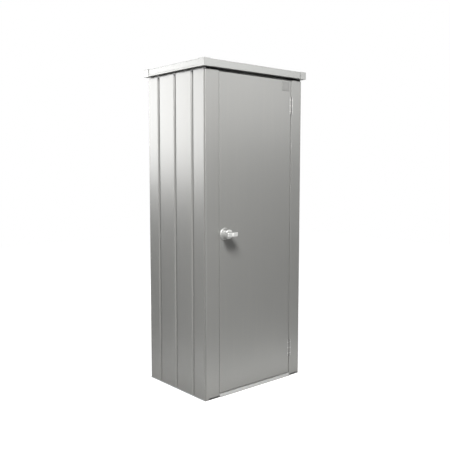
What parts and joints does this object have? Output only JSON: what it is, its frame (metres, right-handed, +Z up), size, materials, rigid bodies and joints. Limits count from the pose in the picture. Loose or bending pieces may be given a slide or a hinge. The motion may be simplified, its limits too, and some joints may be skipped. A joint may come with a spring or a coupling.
{
  "type": "outdoor storage cabinet",
  "caption": "Tall outdoor storage cabinet of folded sheet metal with a flat rimmed roof, grooved walls and a hinged door locked by rods from a turning wing handle.",
  "frame": {"origin": "middle of the footprint of the walls, on the ground", "axes": "+X to the right as seen from the front, +Y from the front into the depth, +Z up"},
  "size_m": [0.7736, 0.6088, 1.82],
  "materials": {
    "painted_sheet": "satin metallic silver-grey paint",
    "roof_paint": "satin metallic silver-grey paint, a little lighter",
    "zinc_sheet": "dull galvanised steel",
    "stainless": "brushed",
    "bright_aluminium": "satin anodised",
    "silver_casting": "satin silver paint on a casting",
    "black_rubber": "matt",
    "black_nylon": "matt"
  },
  "bodies": {
    "carcass": {"front_left_post": "painted_sheet", "front_right_post": "painted_sheet", "rear_left_post": "painted_sheet", "rear_right_post": "painted_sheet", "left_wall_panel_1": "painted_sheet", "left_wall_panel_2": "painted_sheet", "right_wall_panel_1": "painted_sheet", "right_wall_panel_2": "painted_sheet", "rear_wall_panel_1": "painted_sheet", "rear_wall_panel_2": "painted_sheet", "rear_wall_panel_3": "painted_sheet", "lower_shelf": "painted_sheet", "upper_shelf": "painted_sheet", "front_roof_rim": "roof_paint", "rear_roof_rim": "roof_paint", "left_roof_rim": "roof_paint", "right_roof_rim": "roof_paint", "front_left_roof_cap": "roof_paint", "front_right_roof_cap": "roof_paint", "rear_left_roof_cap": "roof_paint", "rear_right_roof_cap": "roof_paint", "roof_panel": "roof_paint", "left_base_rail": "zinc_sheet", "right_base_rail": "zinc_sheet", "rear_base_rail": "zinc_sheet", "left_top_rail": "zinc_sheet", "right_top_rail": "zinc_sheet", "rear_top_rail": "zinc_sheet", "lintel": "zinc_sheet", "floor_panel": "zinc_sheet", "floor_middle_rail": "zinc_sheet", "lower_left_shelf_bracket": "zinc_sheet", "lower_right_shelf_bracket": "zinc_sheet", "upper_left_shelf_bracket": "zinc_sheet", "upper_right_shelf_bracket": "zinc_sheet", "lower_hinge_post_leaf": "stainless", "upper_hinge_post_leaf": "stainless", "lower_hinge_pin": "stainless", "upper_hinge_pin": "stainless", "door_sill": "bright_aluminium", "left_door_seal": "black_rubber", "right_door_seal": "black_rubber", "top_door_seal": "black_rubber"},
    "door": {"door_pan": "painted_sheet", "lower_door_brace": "zinc_sheet", "upper_door_brace": "zinc_sheet", "lower_hinge_door_leaf": "stainless", "upper_hinge_door_leaf": "stainless", "handle_rose": "silver_casting", "gear_plate": "zinc_sheet", "gear_strap": "zinc_sheet", "upper_rod_guide": "black_nylon", "lower_rod_guide": "black_nylon", "tool_rail": "stainless"},
    "handle": {"handle_grip": "silver_casting", "cam_plate": "zinc_sheet"},
    "plug": {"lock_plug": "stainless"},
    "upper_rod": {"upper_rod": "zinc_sheet"},
    "lower_rod": {"lower_rod": "zinc_sheet"}
  },
  "joints": [
    {"name": "door_swing", "type": "hinge", "parent": "carcass", "child": "door", "pos_m": [0.27875, -0.26275, 0.9], "axis": [0, 0, 1], "range_deg": [0, 180]},
    {"name": "handle_turn", "type": "hinge", "parent": "door", "child": "handle", "pos_m": [-0.23225, -0.26025, 0.902], "axis": [0, 1, 0], "range_deg": [0, 90]},
    {"name": "key_turn", "type": "hinge", "parent": "handle", "child": "plug", "pos_m": [-0.23225, -0.26025, 0.902], "axis": [0, 1, 0], "range_deg": [0, 90]},
    {"name": "upper_rod_slide", "type": "slide", "parent": "door", "child": "upper_rod", "axis": [0, 0, 1], "range_m": [0, 0.02]},
    {"name": "lower_rod_slide", "type": "slide", "parent": "door", "child": "lower_rod", "axis": [0, 0, -1], "range_m": [0, 0.02]}
  ],
  "couplings": [
    {"joint": "upper_rod_slide", "follows": "handle_turn", "m_per_rad": 0.012732},
    {"joint": "lower_rod_slide", "follows": "handle_turn", "m_per_rad": 0.012732}
  ]
}
